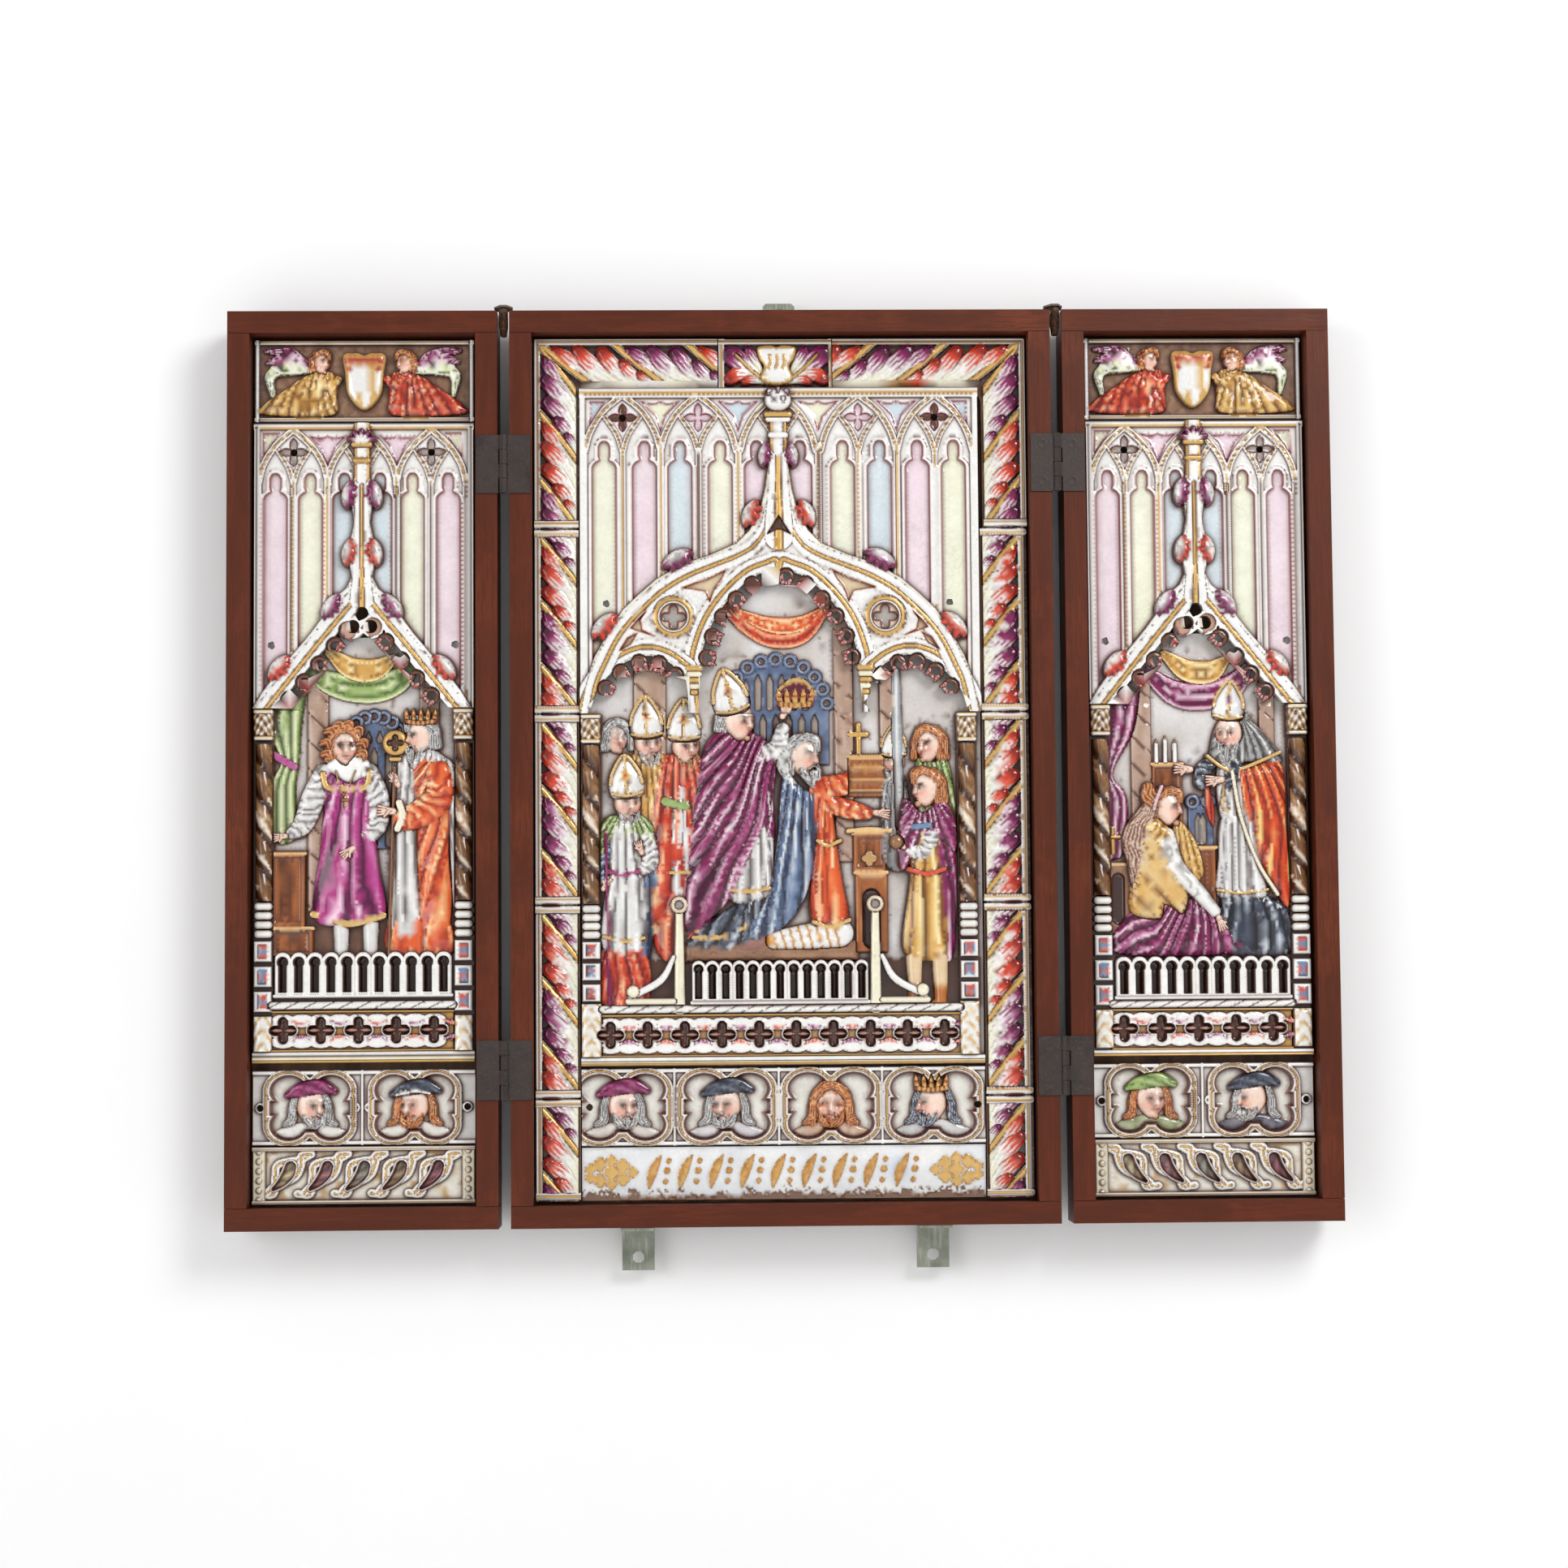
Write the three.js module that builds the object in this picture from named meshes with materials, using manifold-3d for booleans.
// Triptych altarpiece: three hinged mahogany frames filled with painted porcelain relief plaques.
// Millimetres, +Z up, the front faces -Y. The origin is on the back of the top fixing plate.
// Every panel is drawn in its own x and z, measured from the panel's middle, and "depth" is
// measured forward from the wall, so depth d is y = -d.
import * as THREE from 'three';
import { mergeVertices } from 'three/addons/utils/BufferGeometryUtils.js';
import Module from 'manifold-3d';

const wasm = await Module();
wasm.setup();

// ---------- driving dimensions ----------
const panelHeight = 564;
const centreWidth = 335;
const wingWidth = 166;
const hingeGap = 7.5;
const member = 13.5;
const frameBack = 2;
const frameFront = 34;
const clearance = 0.3;
const hangHeight = 276;

const boardBack = 8;
const boardFront = 12;
const plaqueBack = boardFront + clearance;
const backdropFront = 16;
const canopyBack = 18.4;
const windowFront = 21.5;
const mouldingFront = 25;
const canopyFront = 29;
const tileFront = 24;
const leafFront = 29.5;

const leafThickness = 1.2;
const hingeHeight = 36;
const hingeLeafWidth = 13;
const knuckleRadius = 2.4;
const pinRadius = 1;
const hingeZ = 186;

const innerHeight = panelHeight / 2 - member;

// ---------- materials ----------
const finish = (color, roughness, metalness = 0) =>
  new THREE.MeshStandardMaterial({ color, roughness, metalness, flatShading: true });
const mahogany = finish(0x6e3c2d, 0.55);
const boardWood = finish(0x4a2f24, 0.75);
const porcelain = finish(0xebebe8, 0.22);
const iron = finish(0x463c3a, 0.5, 0.8);
const steel = finish(0xb2b6a8, 0.4, 0.9);
const cordFinish = finish(0x38241a, 0.6);

// ---------- solids ----------
function solid(geometry) {
  const bare = geometry.clone();
  bare.deleteAttribute('normal');
  bare.deleteAttribute('uv');
  const merged = mergeVertices(bare, 1e-4);
  const mesh = new wasm.Mesh({
    numProp: 3,
    vertProperties: new Float32Array(merged.attributes.position.array),
    triVerts: new Uint32Array(merged.index.array),
  });
  return new wasm.Manifold(mesh);
}

const join = (solids) => solids.reduce((whole, next) => whole.add(next));

function piece(parent, name, body, material) {
  const { vertProperties, triVerts } = body.getMesh();
  const geometry = new THREE.BufferGeometry();
  geometry.setAttribute('position', new THREE.BufferAttribute(vertProperties, 3));
  geometry.setIndex(new THREE.BufferAttribute(triVerts, 1));
  geometry.computeVertexNormals();
  const mesh = new THREE.Mesh(geometry, material);
  mesh.name = name;
  parent.add(mesh);
  return mesh;
}

// A flat shape in x and z, pushed forward from one depth to another.
function plate(shape, back, front) {
  const geometry = new THREE.ExtrudeGeometry(shape, {
    depth: front - back, bevelEnabled: false, curveSegments: 4,
  });
  geometry.translate(0, 0, back);
  geometry.rotateX(Math.PI / 2);
  return solid(geometry);
}

const outline = (points) => new THREE.Shape(points.map(([x, z]) => new THREE.Vector2(x, z)));

const rectangle = (x0, z0, x1, z1) => outline([[x0, z0], [x1, z0], [x1, z1], [x0, z1]]);

const block = (x0, z0, x1, z1, back, front) => plate(rectangle(x0, z0, x1, z1), back, front);

function ringPoints(x, z, radius, sides, turn = 0) {
  return Array.from({ length: sides }, (_, i) => {
    const angle = turn + (i / sides) * 2 * Math.PI;
    return [x + radius * Math.cos(angle), z + radius * Math.sin(angle)];
  });
}

const disc = (x, z, radius, back, front, sides = 8) =>
  plate(outline(ringPoints(x, z, radius, sides, Math.PI / sides)), back, front);

// The edge of an arch from its left springing over the crown to its right one.
function archPoints(x, spring, half, rise, steps) {
  const points = [];
  const radius = (half * half + rise * rise) / (2 * half);
  const sweepAngle = Math.asin(Math.min(1, rise / radius));
  for (let i = 0; i <= steps; i += 1) {
    const angle = (i / steps) * sweepAngle;
    points.push([x - half + radius * (1 - Math.cos(angle)), spring + radius * Math.sin(angle)]);
  }
  const right = points.slice(0, -1).reverse().map(([px, pz]) => [2 * x - px, pz]);
  return points.concat(right);
}

// A band of even width along an open line.
function band(points, width) {
  const left = [];
  const right = [];
  points.forEach(([x, z], i) => {
    const [ax, az] = points[Math.max(0, i - 1)];
    const [bx, bz] = points[Math.min(points.length - 1, i + 1)];
    const length = Math.hypot(bx - ax, bz - az);
    const nx = (-(bz - az) / length) * (width / 2);
    const nz = ((bx - ax) / length) * (width / 2);
    left.push([x + nx, z + nz]);
    right.push([x - nx, z - nz]);
  });
  return outline(left.concat(right.reverse()));
}

// A closed limb, robe, shaft or fold: oval rings along a line, each station being
// [x, z, depth, half width, half depth, turn]. Turn twists a ring.
function limb(stations, { sides = 5 } = {}) {
  const positions = [];
  const faces = [];
  stations.forEach(([x, z, depth, half, thick, turn = 0], i) => {
    const [ax, az] = stations[Math.max(0, i - 1)];
    const [bx, bz] = stations[Math.min(stations.length - 1, i + 1)];
    const length = Math.hypot(bx - ax, bz - az);
    const across = [(bz - az) / length, -(bx - ax) / length];
    for (let k = 0; k < sides; k += 1) {
      const angle = ((k + 0.5) / sides) * 2 * Math.PI + turn;
      const side = half * Math.cos(angle);
      positions.push(x + across[0] * side, -(depth + thick * Math.sin(angle)));
      positions.push(z + across[1] * side);
    }
  });
  const last = stations.length - 1;
  for (let i = 0; i < last; i += 1) {
    for (let k = 0; k < sides; k += 1) {
      const a = i * sides + k;
      const b = i * sides + ((k + 1) % sides);
      faces.push(a, a + sides, b, b, a + sides, b + sides);
    }
  }
  for (let k = 1; k < sides - 1; k += 1) {
    faces.push(0, k, k + 1);
    faces.push(last * sides, last * sides + k + 1, last * sides + k);
  }
  const geometry = new THREE.BufferGeometry();
  geometry.setAttribute('position', new THREE.Float32BufferAttribute(positions, 3));
  geometry.setIndex(faces);
  return solid(geometry);
}

function ball(x, z, depth, half, tall, thick, across = 5, down = 4) {
  const geometry = new THREE.SphereGeometry(1, across, down);
  geometry.rotateX(Math.PI / 2);
  geometry.scale(half, thick, tall);
  geometry.translate(x, -depth, z);
  return solid(geometry);
}

// A leaf lobe: a long diamond with a raised rib, lying on a ground.
function lobe(x, z, reach, half, angle, ground, top) {
  const along = [Math.cos(angle), Math.sin(angle)];
  const place = (s, t, depth) => [
    x + along[0] * s - along[1] * t, -depth, z + along[1] * s + along[0] * t,
  ];
  const rim = [[0, 0], [0.45, -half], [1, 0], [0.45, half]];
  const positions = [];
  rim.forEach(([s, t]) => positions.push(...place(s * reach, t, ground)));
  rim.forEach(([s, t]) => positions.push(...place(s * reach, t, ground + 0.4 * (top - ground))));
  positions.push(...place(0.5 * reach, 0, top));
  const faces = [0, 2, 1, 0, 3, 2];
  for (let k = 0; k < 4; k += 1) {
    const next = (k + 1) % 4;
    faces.push(k, next, k + 4, next, next + 4, k + 4, k + 4, next + 4, 8);
  }
  const geometry = new THREE.BufferGeometry();
  geometry.setAttribute('position', new THREE.Float32BufferAttribute(positions, 3));
  geometry.setIndex(faces);
  return solid(geometry);
}

// A frame of four lobes in its corners, drawn in at the middle of each side.
function quatrefoil(x, z, half, tall) {
  const corner = [[1, 0.45], [0.62, 1]];
  const quarter = [[1, 1], [-1, 1], [-1, -1], [1, -1]].map(([sx, sz], i) => {
    const turned = corner.map(([px, pz]) => [x + sx * half * px, z + sz * tall * pz]);
    return i % 2 ? turned.reverse() : turned;
  });
  const nips = [[0, 0.8], [-0.84, 0], [0, -0.8], [0.84, 0]]
    .map(([px, pz]) => [x + half * px, z + tall * pz]);
  return outline(quarter.flatMap((points, i) => [...points, nips[i]]));
}

// A small flower of four pointed petals, drawn as a lozenge.
const petals = (x, z, reach) => outline(ringPoints(x, z, reach, 4));

// ---------- frames ----------
function woodFrame(group, name, width) {
  const half = width / 2;
  const inner = half - member;
  const top = panelHeight / 2;
  const wood = (part, x0, z0, x1, z1, back, front, material) =>
    piece(group, `${name}_${part}`, block(x0, z0, x1, z1, back, front), material);
  wood('top_rail', -half, innerHeight, half, top, frameBack, frameFront, mahogany);
  wood('bottom_rail', -half, -top, half, -innerHeight, frameBack, frameFront, mahogany);
  const stile = innerHeight - clearance;
  wood('left_stile', -half, -stile, -inner, stile, frameBack, frameFront, mahogany);
  wood('right_stile', inner, -stile, half, stile, frameBack, frameFront, mahogany);
  const board = inner - clearance;
  wood('back_board', -board, -stile, board, stile, boardBack, boardFront, boardWood);
}

// ---------- hinges ----------
// One leaf lies on a stile's front face, and its fingers wrap the pin as knuckles.
const axisDepth = frameFront + 0.2 + leafThickness;
const knuckleSides = 6;
const knuckleEdge = 1.5;

function upright(radius, length, z) {
  const geometry = new THREE.CylinderGeometry(radius, radius, length, knuckleSides);
  geometry.rotateX(Math.PI / 2);
  geometry.translate(0, -axisDepth, z);
  return solid(geometry);
}

function hingeLeaf(side, first) {
  const knuckle = hingeHeight / 4;
  const low = -hingeHeight / 2;
  const near = side * (knuckleRadius + 2 * clearance);
  const far = side * (hingeGap / 2 + hingeLeafWidth);
  const comb = [[far, low], [far, -low]];
  const barrels = [];
  for (let k = 3; k >= 0; k -= 1) {
    const z0 = low + k * knuckle + clearance / 2;
    const z1 = z0 + knuckle - clearance;
    if (k % 2 === first) {
      comb.push([near, k === 3 ? -low : z1 + clearance], [near, z1]);
      comb.push([side * knuckleEdge, z1], [side * knuckleEdge, z0], [near, z0]);
      barrels.push(upright(knuckleRadius, z1 - z0, (z0 + z1) / 2));
    }
  }
  comb.push([near, low]);
  const leaf = plate(outline(side > 0 ? comb : comb.reverse()), frameFront + 0.05, frameFront + leafThickness);
  const bore = upright(pinRadius + clearance, hingeHeight + 2, 0);
  return join([leaf, ...barrels]).subtract(bore);
}

function hinge(root, wing, name, x, z, wingSide) {
  const fixed = piece(root, `${name}_fixed_leaf`, hingeLeaf(-wingSide, 0), iron);
  fixed.position.set(x, 0, z);
  const moving = piece(wing, `${name}_moving_leaf`, hingeLeaf(wingSide, 1), iron);
  moving.position.set(x - wing.position.x, 0, z);
  const pin = piece(root, `${name}_pin`, upright(pinRadius, hingeHeight + 1, 0), iron);
  pin.position.set(x, 0, z);
}

// ---------- fixing plates ----------
const plateHalf = 10;
const plateThickness = frameBack - clearance;
const topPlateRise = 11;
const topPlateDrop = 17;
const footDrop = 28;

function topFixingPlate() {
  const top = panelHeight / 2;
  const shape = outline([
    [-plateHalf, top - topPlateDrop], [plateHalf, top - topPlateDrop],
    [plateHalf, top + topPlateRise - 2], [plateHalf - 2, top + topPlateRise],
    [2 - plateHalf, top + topPlateRise], [-plateHalf, top + topPlateRise - 2],
  ]);
  const hole = disc(0, top + 4.2, 3.6, -1, plateThickness + 1, 8);
  return plate(shape, 0, plateThickness).subtract(hole);
}

function footFixingPlate(x) {
  const bottom = -panelHeight / 2 - clearance;
  const upright = block(x - plateHalf, bottom - footDrop, x + plateHalf, bottom, 0, plateThickness);
  const ledge = block(x - plateHalf, bottom - plateThickness, x + plateHalf, bottom, 0, frameFront - 2);
  const hole = disc(x, bottom - 20, 3.8, -1, plateThickness + 1, 8);
  return upright.add(ledge).subtract(hole);
}

// ---------- cord knots ----------
function cordKnot(lean) {
  const top = panelHeight / 2;
  const half = hingeGap / 2 - 2 * clearance;
  const stem = limb([[0, top - 15, 28, half * 0.7, 4], [0, top - 9, 28, half, 6],
    [0, top + 1.4, 28, half, 6]], { sides: 6 });
  const bow = limb([[-5.6 - lean, top + 1.8, 28, 1.4, 3], [-2, top + 2.6, 28, 2, 5],
    [2, top + 2.6, 28, 2, 5], [5.6 - lean, top + 1.8, 28, 1.4, 3]], { sides: 6 });
  return stem.add(bow);
}

// ---------- border tiles ----------
const tileRow = { top: 266.5, foot: 236 };
const borderLeft = -152.8;
const borderRight = 152.8;
const borderInner = { left: -125.5, right: 123.5 };
const columnJoints = [147.5, 32.5, -85.5, -204];
const borderFoot = -266.5;
const topJoints = [-38.5, 32.5];
const seam = 0.6;

// Leaf lobes climb slantwise across the tile, between two edge mouldings.
function tileRun(x0, z0, x1, z1, isUpright, lean) {
  const length = isUpright ? z1 - z0 : x1 - x0;
  const width = isUpright ? x1 - x0 : z1 - z0;
  const edge = 2.4;
  const sunk = isUpright ? block(x0 + edge, z0 - 1, x1 - edge, z1 + 1, tileFront, 60)
    : block(x0 - 1, z0 + edge, x1 + 1, z1 - edge, tileFront, 60);
  const parts = [block(x0, z0, x1, z1, plaqueBack, leafFront - 2).subtract(sunk)];
  const count = Math.max(1, Math.floor(length / 30));
  const slant = isUpright ? 0.85 : 0.72;
  const reach = (width - 2 * edge - 1) / (isUpright ? Math.cos(slant) : Math.sin(slant));
  const along = reach * (isUpright ? Math.sin(slant) : Math.cos(slant));
  for (let i = 0; i < count; i += 1) {
    const start = 3 + (i * (length - along - 7)) / Math.max(1, count - 1);
    const angle = lean > 0 ? slant : Math.PI - slant;
    const inset = edge + 0.5;
    const x = isUpright ? (lean > 0 ? x0 + inset : x1 - inset) : (lean > 0 ? x0 + start : x1 - start);
    const z = isUpright ? z0 + start : z0 + inset;
    parts.push(lobe(x, z, reach, width * 0.24, angle, tileFront - 0.5, leafFront));
  }
  return join(parts);
}

function borderTiles(group) {
  const half = seam / 2;
  const [topSplit, rightSplit] = topJoints;
  const add = (name, body) => piece(group, `border_${name}`, body, porcelain);
  const first = columnJoints[0] + half;
  const row = [tileRow.foot, tileRow.top];
  add('top_left_corner', tileRun(borderLeft, row[0], topSplit - half, row[1], false, -1)
    .add(tileRun(borderLeft, first, borderInner.left, row[0] + 0.01, true, 1)));
  add('top_right_corner', tileRun(rightSplit + half, row[0], borderRight, row[1], false, 1)
    .add(tileRun(borderInner.right, first, borderRight, row[0] + 0.01, true, -1)));
  const shield = plate(outline([[-14, 240], [-4, 237], [6, 240], [10, 262], [-18, 262]]),
    tileFront - 1, leafFront);
  add('top_middle', tileRun(topSplit + half, row[0], rightSplit - half, row[1], false, 1).add(shield));
  const lows = columnJoints.slice(1).concat(borderFoot);
  lows.forEach((low, i) => {
    const z0 = low + half;
    const z1 = columnJoints[i] - half;
    add(`left_${i + 1}`, tileRun(borderLeft, z0, borderInner.left, z1, true, 1));
    add(`right_${i + 1}`, tileRun(borderInner.right, z0, borderRight, z1, true, -1));
  });
}

// ---------- window tracery ----------
// A blind window: a sunk light with a cusped head, cut into the ground of the plaque.
function light(x, foot, spring, half) {
  const head = archPoints(x, spring, half, half * 1.5, 1);
  return plate(outline([[x + half, foot], ...head.reverse(), [x - half, foot]].reverse()),
    windowFront - 2, mouldingFront + 1);
}

// A screw hole in the plaque, through its ground.
const screwHole = (x, z) => disc(x, z, 2.3, plaqueBack - 1, mouldingFront + 1, 5);

// A leaf crocket on the back of a gable.
const crocket = (x, z, size, way) => limb([[x - way * size, z - size, 25, size * 0.4, 2.8],
  [x + way * size * 0.6, z + size * 0.3, 25, size * 0.9, 3.8]], { sides: 4 });

// Lace along the inside of an arch: the line between two springings, cut into cusps.
function cusped(points, count, reach) {
  const curve = new THREE.CatmullRomCurve3(points.map(([x, z]) => new THREE.Vector3(x, z, 0)));
  const steps = 2 * count;
  return Array.from({ length: steps + 1 }, (_, i) => {
    const at = curve.getPointAt(i / steps);
    const way = curve.getTangentAt(i / steps);
    const inward = i % 2 ? reach : reach * 0.3;
    return [at.x + way.y * inward, at.y - way.x * inward];
  });
}

// ---------- wing plaques ----------
const wingHalf = 67.8;
const wingLevels = {
  angel: [266.5, 215.3], arch: [213.7, 37.6], scene: [36.4, -181], portrait: [-185.5, -231],
  scroll: [-231.8, -267],
};
const gableApex = 112;
const gableFoot = 38;
const gableHalf = 66;

function wingArch() {
  const [top] = wingLevels.arch;
  const apexEdge = gableApex - 9;
  const slab = block(-wingHalf, apexEdge, wingHalf, top, plaqueBack, windowFront + 1);
  const lace = cusped([[-59, gableFoot], [-3, apexEdge], [3, apexEdge], [59, gableFoot]], 9, 7);
  const skirt = plate(outline([[-wingHalf, gableFoot], ...lace, [wingHalf, gableFoot],
    [wingHalf, apexEdge + 1], [-wingHalf, apexEdge + 1]].reverse()), canopyBack, windowFront + 1);
  const edge = 3.5;
  const rim = block(-wingHalf, gableFoot, wingHalf, top, windowFront, mouldingFront + 2)
    .subtract(block(edge - wingHalf, gableFoot - 1, wingHalf - edge, top - edge, 0, 60));
  const arches = [-42, 42].map((x) =>
    plate(band(archPoints(x, 168, 20, 32, 1), 2.6), windowFront, mouldingFront));
  const lights = [[53, 66], [31.5, 88], [11, 122]].flatMap(([x, z]) =>
    [light(-x, z, 170, 7), light(x, z, 170, 7)]);
  const gable = plate(band([[-gableHalf, gableFoot], [0, gableApex - 3.5], [gableHalf, gableFoot]], 7),
    windowFront, canopyFront).intersect(block(-wingHalf, gableFoot, wingHalf, top, 0, 60));
  const pinnacle = limb([[0, 104, 25, 9, 4], [0, 124, 25, 5.5, 4], [0, 186, 25, 4, 3.6],
    [0, 187, 25, 6.5, 4], [0, 203, 25, 5, 4], [0, 207, 25, 8.4, 4], [0, 213, 25, 5, 3]], { sides: 4 });
  const crockets = [[3, 172, 5], [4, 138, 6], [10, 110, 6.5], [38, 80, 7]];
  const leaves = crockets.flatMap(([x, z, size]) => [
    crocket(-x - size * 0.7, z, size, -1), crocket(x + size * 0.7, z, size, 1)]);
  const ground = slab.add(skirt).add(rim).add(join(arches)).subtract(join(lights));
  const holes = [[-42, 192], [42, 192], [-59.5, 72], [59.5, 72]].map(([x, z]) => screwHole(x, z));
  return join([ground, gable, pinnacle, ...leaves]).subtract(join(holes));
}

// A column in one sweep: base, jewel blocks, rings, spiral shaft and capital.
function column(x, top) {
  const depth = 20.4;
  const thick = 9.8;
  const twists = 4;
  const stations = [[179, 8.2], [143, 8.4], [141, 6.6], [128, 8.4]]
    .map(([drop, half]) => [x, top - drop, depth, half, thick * (half / 9)]);
  for (let i = 0; i <= twists; i += 1) {
    stations.push([x, top - 117 + i * 25, depth, 6.4, thick * 0.8, i * 0.78]);
  }
  stations.push([x, top - 0.2, depth, 8.6, thick]);
  return limb(stations, { sides: 4 });
}

// A balustrade with a row of sunk openings under a handrail.
function balustrade(x0, x1, foot, head, count, back, front) {
  const pitch = (x1 - x0 - 2) / count;
  const openings = Array.from({ length: count }, (_, i) => {
    const x = x0 + 1 + pitch * (i + 0.5);
    const half = pitch * 0.3;
    return plate(outline([[x - half * 0.7, foot + 3], [x + half * 0.7, foot + 3], [x + half, head - 3],
      [x - half, head - 3]]), back + 6, front + 1);
  });
  return block(x0, foot, x1, head, back, front).subtract(join(openings));
}

// The foot of a scene: a rope moulding, a frieze of sunk flowers and a bottom moulding.
function frieze(x0, x1, foot, count, edge) {
  const step = (x1 - x0 - 2 * edge) / count;
  const flowers = Array.from({ length: count }, (_, i) =>
    plate(petals(x0 + edge + step * (i + 0.5), foot + 17, 8.6), 22, 30));
  const rope = limb([[x0, foot + 33, 22, 4, 5.4], [x1, foot + 33, 22, 4, 5.4]], { sides: 6 });
  return join([block(x0, foot, x1, foot + 30, plaqueBack, 25), rope,
    block(x0, foot, x1, foot + 4, plaqueBack, 28)]).subtract(join(flowers));
}

// ---------- figures ----------
// A figure starts inside the slab's thickness and swells forward by twice its half depth.
const swell = (x, z, half, thick) => [x, z, plaqueBack + 0.4 + thick, half, thick];

const hats = {
  mitre: [[2, 1.2], [3.6, 0.15]],
  cap: [[0.95, 1.5], [1.8, 0.8]],
  crown: [[1.8, 1.2]],
  none: [[1.35, 0.5]],
};

// A standing or kneeling figure in one sweep, from hem to hat. Hem, waist and shoulder are
// each [x, z, half width]; the face is [x, z, half width].
function figure({ hem, waist, shoulder, face, hat = 'none', thick = 7, sides = 5 }) {
  const [x, z, half] = face;
  const stations = [
    swell(hem[0], hem[1], hem[2], thick), swell(waist[0], waist[1], waist[2], thick),
    swell(shoulder[0], shoulder[1], shoulder[2], thick * 0.95),
    swell(x, z - half * 1.4, half * 0.8, thick * 0.9), swell(x, z + half * 0.5, half * 1.1, thick),
  ];
  hats[hat].forEach(([rise, wide]) =>
    stations.push(swell(x, z + half * rise, half * wide, thick * (wide < 0.2 ? 0.5 : 0.85))));
  return limb(stations, { sides });
}

const arm = (...stations) =>
  limb(stations.map(([x, z, half, thick]) => swell(x, z, half, thick)), { sides: 4 });

function wingScene(isLeft) {
  const [top, foot] = wingLevels.scene;
  const body = [
    plate(outline([[-wingHalf, foot], [wingHalf, foot], [wingHalf, top], [wingHalf - 4, top + 10],
      [30, 81], [-30, 81], [4 - wingHalf, top + 10], [-wingHalf, top]]), plaqueBack, backdropFront),
    column(-61.3, top), column(61.3, top),
    balustrade(-54, 54, -141, -115.5, 11, plaqueBack, 27.5),
    frieze(-wingHalf, wingHalf, foot, 5, 9),
    arm([-28, 62, 2.5, 2.2], [0, 49, 6, 2.6], [28, 62, 2.5, 2.2]),
  ];
  if (isLeft) {
    body.push(
      arm([-48, 32, 3, 3], [-48, -2, 4, 4], [-52, -14, 6, 5], [-52, -36, 5, 4]),
      figure({ hem: [-10, -96, 21], waist: [-14, -45, 14], shoulder: [-14, -8, 15], face: [-11, 15, 9] }),
      block(-19, -116, 1, -95.5, 14, 21),
      arm([-24, -12, 5, 6.4], [-36, -30, 5, 6], [-50, -41, 3, 5]),
      arm([0, -12, 5, 6.6], [6, -34, 5, 7], [-12, -50, 3, 7.2]),
      block(-54, -116, -36, -50, 14, 21), block(-1, -40, 24, 30, 14, 17.8),
      figure({ hem: [34, -116, 18], waist: [36, -50, 17], shoulder: [38, -2, 16], face: [34, 22, 8.6],
        hat: 'crown' }),
      arm([40, -6, 7, 7], [30, -20, 6, 7.3], [8, -27, 3, 7]),
      block(16, -110, 19.5, 10, 14, 19.5), block(12, 10.5, 26, 24, 14, 21),
    );
  } else {
    body.push(
      arm([-48, 32, 3, 3], [-51, 2, 6, 5], [-49, -16, 3.6, 4], [-52, -60, 5, 4]),
      figure({ hem: [30, -116, 21], waist: [30, -45, 21], shoulder: [28, 0, 17], face: [24, 16, 9],
        hat: 'mitre', sides: 6 }),
      arm([34, 0, 8, 7], [26, -12, 6, 7.4], [8, -12, 3, 7.4]),
      arm([12, -4, 5, 6.4], [2, -6, 4, 6.6], [-12, -4, 3, 6.4]),
      figure({ hem: [-20, -116, 26], waist: [-26, -72, 17], shoulder: [-22, -40, 14], face: [-19, -19, 9] }),
      arm([-14, -42, 5, 7.2], [0, -66, 5, 7.4], [14, -96, 3, 7.3]),
      block(-53, -116, -41, -64, 14, 20), block(-30, -40, -8, -2, 14, 18), block(-1, -70, 9, -22, 14, 18),
    );
  }
  return join(body);
}

// A plain slab with a raised border of its own.
function borderedSlab(x0, foot, x1, top, edge, ground, front) {
  const hollow = block(x0 + edge, foot + edge, x1 - edge, top - edge, ground, 60);
  return block(x0, foot, x1, top, plaqueBack, front).subtract(hollow);
}

// Two angels in flight hold a striped shield between them.
function angelPlaque(mirror) {
  const [top, foot] = wingLevels.angel;
  const parts = [
    borderedSlab(-wingHalf, foot, wingHalf, top, 4.5, 22, 27.5),
    plate(outline([[-14, 254], [-12, 232], [0, 221], [12, 232], [14, 254], [10, 260],
      [-10, 260]]), 21, 28.5),
  ];
  [-1, 1].forEach((side) => {
    parts.push(
      ball(side * 26, 251, 22, 6, 7, 6.4),
      limb([[side * 24, 244, 21, 4, 6], [side * 36, 236, 21, 6.5, 6 + mirror * 0.2],
        [side * 60, 233, 21, 4, 4]], { sides: 4 }),
      limb([[side * 27, 242, 21, 2.6, 5], [side * 9, 227, 21, 2, 5]], { sides: 4 }),
      limb([[side * 30, 251, 21, 3, 4], [side * 44, 254, 21, 6, 5.4], [side * 59, 257, 21, 3, 3]], { sides: 4 }),
    );
  });
  const holes = [-45, 45].map((x) => screwHole(x, 243));
  return join(parts).subtract(join(holes));
}

// A head and shoulders in one sweep, for a sunk quatrefoil.
function portrait(x, z, hat, turn) {
  const depth = 20.6;
  const face = x + turn;
  const half = 8;
  const stations = [[x, z - 17.5, 13, 5], [x, z - 12, 14, 6.4], [face, z - 8.6, 6, 7.4],
    [face, z + 1, 9.6, 7.9], [face, z + 7, 7.6, 8]];
  hats[hat].forEach(([rise, wide]) =>
    stations.push([face, z + 1 + half * rise, half * wide, 6.6]));
  return limb(stations.map(([sx, sz, wide, thick]) => [sx, sz, depth, wide, thick]), { sides: 6 });
}

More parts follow.
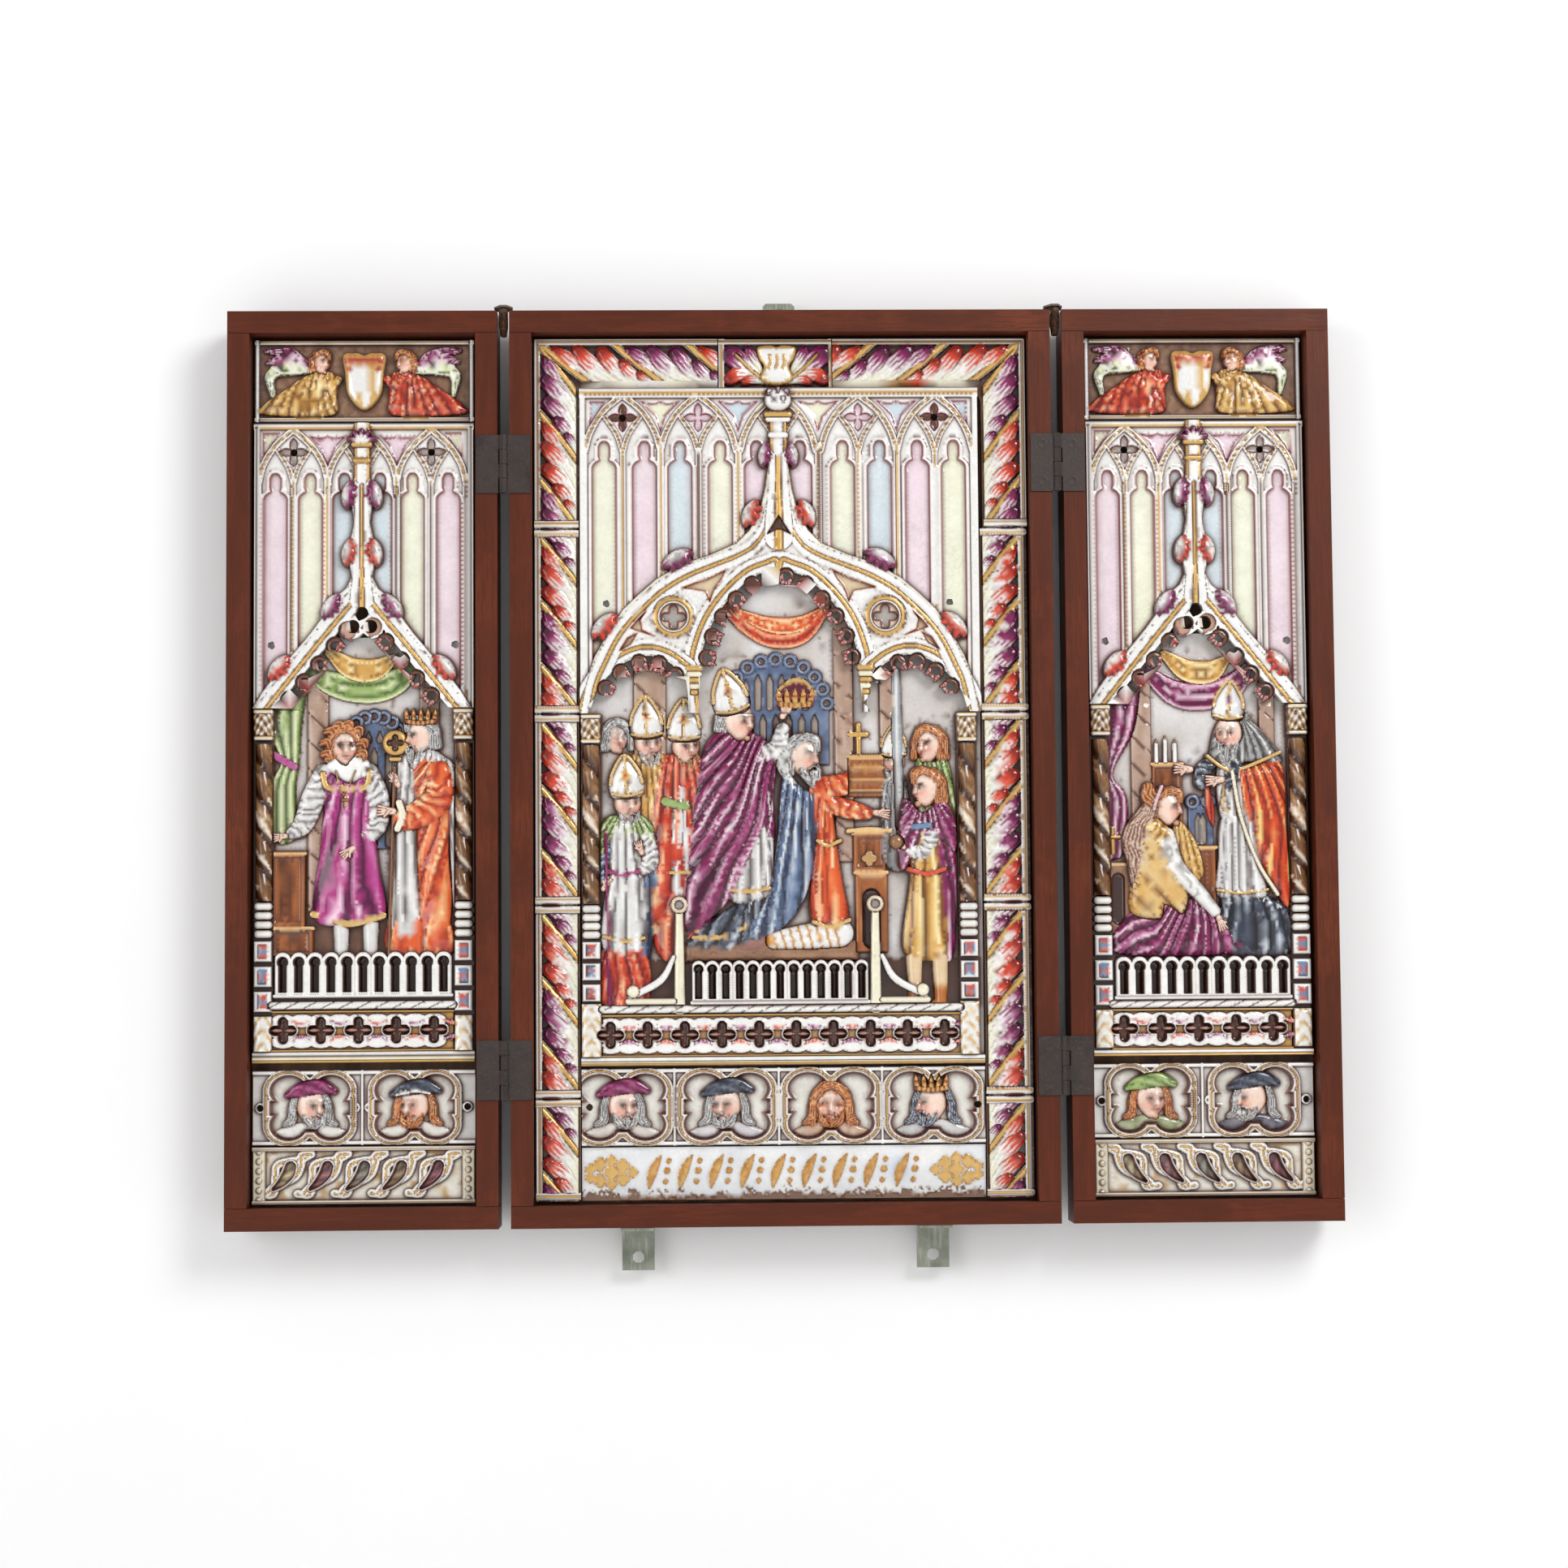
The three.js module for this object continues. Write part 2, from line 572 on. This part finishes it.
function portraitPlaque(x0, x1, levels, middles, hatNames, holes) {
  const [top, foot] = levels;
  const z = (top + foot) / 2;
  const sunk = middles.map((x) => plate(quatrefoil(x, z, 25, 19.5), 21.5, 60));
  const heads = middles.map((x, i) => portrait(x, z, hatNames[i], i % 2 ? -2 : 2));
  const cuts = holes.map((x) => screwHole(x, z));
  return block(x0, foot, x1, top, plaqueBack, 25.5)
    .subtract(join(sunk)).add(join(heads)).subtract(join(cuts));
}

// Five comma-shaped scrolls between end strips.
function scrollPlaque(mirror) {
  const [top, foot] = wingLevels.scroll;
  const parts = [borderedSlab(-wingHalf, foot, wingHalf, top, 2.6, 22, 27)];
  for (let i = 0; i < 5; i += 1) {
    const x = mirror * (-46 + i * 23);
    parts.push(limb([[x - mirror * 5, foot + 5.5, 21, 2.4, 5], [x + mirror * 7, foot + 12, 21, 3.6, 6],
      [x, foot + 23, 21, 5.5, 6]], { sides: 4 }));
  }
  [-61, 61].forEach((x) => parts.push(block(x - 0.8, foot + 2, x + 0.8, top - 2, 21, 26)));
  return join(parts);
}

// ---------- centre plaques ----------
const centreX = -1;
const archLeft = borderInner.left + seam;
const archRight = borderInner.right - seam;
const centreLevels = {
  arch: [235.4, 33.2], scene: [32.4, -184.4], portrait: [-186, -233.2], inscription: [-234.2, -266.5],
};
const pendantX = 52;

// A lop-sided side arch: a steep outer haunch, and a gentle fall to the pendant.
function rampantArch(way, grow, steps = 3) {
  const crown = centreX + way * 86;
  const rise = centreLevels.arch[1];
  const points = [];
  for (let i = 0; i <= steps; i += 1) {
    const angle = (i / steps) * (Math.PI / 2);
    points.push([crown + way * (31 + grow) * Math.cos(angle), rise + (30 + grow) * Math.sin(angle)]);
  }
  for (let i = 1; i <= steps; i += 1) {
    const angle = (i / steps) * (Math.PI / 2);
    points.push([crown - way * (28 + grow * 0.4) * Math.sin(angle), 50 + (13.2 + grow) * Math.cos(angle)]);
  }
  return points;
}

function centreArch() {
  const [top, foot] = centreLevels.arch;
  const at = (x) => centreX + x;
  const slab = block(archLeft, 132, archRight, top, plaqueBack, windowFront + 1);
  const middleEdge = (grow) => archPoints(centreX, 62, 47 + grow, 61 + grow, 4);
  const lace = [cusped(rampantArch(-1, 0), 6, 6), cusped(middleEdge(0), 9, 7),
    cusped(rampantArch(1, 0).reverse(), 6, 6)];
  const skirt = plate(outline([[archLeft, foot], ...lace[0], [at(-56), 50], [at(-48), 50],
    ...lace[1], [at(48), 50], [at(56), 50], ...lace[2], [archRight, foot], [archRight, 133],
    [archLeft, 133]].reverse()),
  canopyBack, windowFront + 1);
  const lightFeet = [102, 122, 136, 142, 168];
  const lights = lightFeet.flatMap((z, i) =>
    [light(at(-108 + i * 24), z, 190, 7.6), light(at(108 - i * 24), z, 190, 7.6)]);
  const edge = 3.5;
  const rim = block(archLeft, foot, archRight, top, windowFront, mouldingFront + 2)
    .subtract(block(archLeft + edge, foot - 1, archRight - edge, top - edge, 0, 60));
  const arches = Array.from({ length: 5 }, (_, i) =>
    plate(band(archPoints(at(-96 + i * 48), 192, 22, 34, 1), 2.6), windowFront, mouldingFront));
  const gableEdge = [-1, 1].map((side) => [[at(side * 119), 44], [at(side * 108), 78], [at(side * 84), 106],
    [at(side * 50), 127], [at(side * 18), 140], [at(0), 172]]);
  const gable = gableEdge.map((line) => plate(band(line, 7), windowFront, canopyFront));
  const hood = [middleEdge(3.5), rampantArch(-1, 3), rampantArch(1, 3)].map((line) =>
    plate(band(line, 6), windowFront, canopyFront - 1));
  const pinnacle = limb([[centreX, 140, 25, 10, 4], [centreX, 165, 25, 6, 4], [centreX, 215, 25, 5, 4],
    [centreX, 216, 25, 7, 4], [centreX, 224, 25, 6, 4], [centreX, 229, 25, 10, 4], [centreX, 235, 25, 6, 3]],
  { sides: 4 });
  const crockets = [[7, 194, 6.5], [14, 158, 8], [60, 126, 8], [106, 88, 8]];
  const leaves = crockets.flatMap(([x, z, size]) => [
    crocket(at(-x - size * 0.3), z, size, -1), crocket(at(x + size * 0.3), z, size, 1)]);
  const pendants = [-1, 1].map((side) => limb([[at(side * pendantX), 45, 23.4, 2, 2],
    [at(side * pendantX), 53, 23.4, 6, 4.6], [at(side * pendantX), 68, 23.4, 6, 5]], { sides: 4 }));
  const rosettes = [-1, 1].map((side) => disc(at(side * 68), 90, 10, windowFront, canopyFront - 1, 8));
  const ground = slab.add(skirt).add(rim).add(join(arches)).subtract(join(lights));
  const holes = [[-98, 214], [96, 214], [-112, 106], [110, 106]].map(([x, z]) => screwHole(x, z));
  return join([ground, ...gable, ...hood, pinnacle, ...leaves, ...pendants, ...rosettes]).subtract(join(holes));
}

function centreScene() {
  const [top, foot] = centreLevels.scene;
  const shoulder = 78;
  const crown = 131.4;
  const post = (x) => limb([[x, -150, 20, 4, 6], [x, -93, 20, 3.4, 6], [x, -88, 20, 5.6, 7], [x, -83, 20, 2, 4]],
    { sides: 4 });
  const body = [
    plate(outline([[archLeft, foot], [archRight, foot], [archRight, top], [archRight - 24, shoulder],
      [centreX + 40, crown], [centreX - 40, crown], [-100, shoulder], [archLeft + 4, top + 8],
      [archLeft, top]]), plaqueBack, backdropFront),
    column(-118.5, top), column(113.8, top), frieze(archLeft, archRight, foot, 10, 9),
    block(-60, -122.5, 52, -112, plaqueBack, 19.5), block(-60, -113, -48, -84, 14, 19),
    block(58, -40, 64, -20, 14, 18),
    balustrade(-57, 51.5, -147, -122, 13, plaqueBack, 27.5), post(-64.5), post(56),
    arm([-68, -118, 3, 5], [-76, -136, 4, 6], [-94, -141, 3, 5]),
    arm([60, -118, 3, 5], [68, -136, 4, 6], [86, -141, 3, 5]),
    arm([-33, 98, 2.4, 2], [-4, 82, 7.5, 2.6], [26, 98, 2.4, 2]),
    plate(outline([[-18, 40], [30, 26], [40, 26], [40, 62], [30, 62], [16, 66], [-24, 64], [-38, 48]]), 14, 17.8),
    // the small bishop in front, with three more behind
    figure({ hem: [-98, -146, 14], waist: [-96, -72, 13], shoulder: [-95, -40, 14], face: [-95, -20, 8.6],
      hat: 'mitre' }),
    arm([-84, -44, 5, 6.6], [-79, -60, 5, 6.8], [-92, -56, 3, 7]),
    figure({ hem: [-84, -60, 10], waist: [-82, -30, 10], shoulder: [-83, -4, 14], face: [-83, 14, 8],
      hat: 'mitre', thick: 5 }),
    figure({ hem: [-66, -116, 14], waist: [-63, -40, 15], shoulder: [-62, -4, 15], face: [-60, 12, 8],
      hat: 'mitre', thick: 5.8 }),
    // the archbishop in the great cape
    figure({ hem: [-32, -116, 28], waist: [-34, -60, 27], shoulder: [-28, 8, 23], face: [-29, 27, 8.4],
      hat: 'mitre', thick: 7.3, sides: 7 }),
    arm([-12, 14, 6, 6.6], [0, 20, 4, 6.6], [2, 38, 5, 6.4]),
    // the kneeling king, both hands raised to the altar
    figure({ hem: [10, -116, 26], waist: [10, -70, 18], shoulder: [13, -16, 14], face: [12, 6, 9.4], sides: 6 }),
    arm([26, -112, 5, 7], [36, -74, 7, 7], [28, -24, 6, 7]),
    arm([24, -12, 5, 7], [42, -6, 4, 7.2], [58, 2, 3, 7]),
    arm([28, -24, 5, 7], [44, -31, 4, 7.2], [62, -30, 3, 7]),
    // the altar with its cross, and the pedestal before it
    plate(outline([[40, -34], [62, -34], [62, 12], [52, 12], [52, 16], [56, 16], [56, 20], [52, 20], [52, 26],
      [48, 26], [48, 20], [44, 20], [44, 16], [48, 16], [48, 12], [40, 12]]), 14, 20),
    block(44, -116, 66, -33.5, 14, 22),
    // the bishop, the sword, the youth behind and the page in front
    figure({ hem: [70, -60, 9], waist: [70, -40, 9], shoulder: [69, -14, 9], face: [69, 2, 6.4], hat: 'mitre',
      thick: 4.4 }),
    plate(outline([[66, -32], [77, -32], [76, 50], [71, 60], [67, 50]]), 14, 18),
    figure({ hem: [92, -60, 12], waist: [94, -30, 12], shoulder: [92, -6, 12], face: [90, 12, 9], thick: 5 }),
    figure({ hem: [88, -112, 14], waist: [88, -60, 12], shoulder: [90, -36, 14], face: [88, -14, 9] }),
    block(81, -149, 95, -111, 14, 22),
    arm([98, -40, 5, 7], [94, -56, 4, 7.2], [72, -51, 4, 7.2]),
  ];
  return join(body);
}

// A smooth white tablet with a row of raised gilt strokes that spell nothing.
function inscription() {
  const [top, foot] = centreLevels.inscription;
  const ground = 22;
  const parts = [block(archLeft, foot, archRight, top, plaqueBack, ground)];
  const middle = (top + foot) / 2;
  const strokes = 9;
  for (let i = 0; i < strokes; i += 1) {
    const x = -103 + i * 25.5;
    const lean = i % 2 ? 4 : -4;
    parts.push(plate(band([[x - lean, middle - 9], [x + lean, middle + 9]], 4.6), ground - 1, 23));
  }
  return join(parts);
}

// ---------- the whole ----------
const triptych = new THREE.Group();
const centre = new THREE.Group();
const leftWing = new THREE.Group();
const rightWing = new THREE.Group();
const wingOffset = centreWidth / 2 + hingeGap + wingWidth / 2;
const axisX = centreWidth / 2 + hingeGap / 2;
centre.position.set(0, 0, -hangHeight);
leftWing.position.set(-wingOffset, 0, -hangHeight);
rightWing.position.set(wingOffset, 0, -hangHeight);
triptych.add(centre, leftWing, rightWing);

woodFrame(centre, 'centre', centreWidth);
woodFrame(leftWing, 'left_wing', wingWidth);
woodFrame(rightWing, 'right_wing', wingWidth);

[['left', -1, leftWing], ['right', 1, rightWing]].forEach(([side, way, wing]) => {
  hinge(centre, wing, `${side}_upper_hinge`, way * axisX, hingeZ, way);
  hinge(centre, wing, `${side}_lower_hinge`, way * axisX, -hingeZ, way);
  const knot = piece(centre, `${side}_cord_knot`, cordKnot(way > 0 ? 1.2 : 0), cordFinish);
  knot.position.x = way * axisX;
});

piece(centre, 'top_fixing_plate', topFixingPlate(), steel);
piece(centre, 'bottom_left_fixing_plate', footFixingPlate(-91), steel);
piece(centre, 'bottom_right_fixing_plate', footFixingPlate(91), steel);

borderTiles(centre);
piece(centre, 'centre_arch_plaque', centreArch(), porcelain);
piece(centre, 'centre_scene_plaque', centreScene(), porcelain);
piece(centre, 'centre_portrait_plaque', portraitPlaque(archLeft, archRight, centreLevels.portrait,
  [-98, -35, 28, 90], ['cap', 'cap', 'none', 'crown'], [-123, 115]), porcelain);
piece(centre, 'centre_inscription_plaque', inscription(), porcelain);

[['left_wing', leftWing, 1], ['right_wing', rightWing, -1]].forEach(([name, wing, way]) => {
  piece(wing, `${name}_angel_plaque`, angelPlaque(way), porcelain);
  piece(wing, `${name}_arch_plaque`, wingArch(), porcelain);
  piece(wing, `${name}_scene_plaque`, wingScene(way > 0), porcelain);
  piece(wing, `${name}_portrait_plaque`, portraitPlaque(-wingHalf, wingHalf, wingLevels.portrait,
    [-33, 33], ['cap', 'cap'], [-58.5, 58.5]), porcelain);
  piece(wing, `${name}_scroll_plaque`, scrollPlaque(way), porcelain);
});

export default triptych;
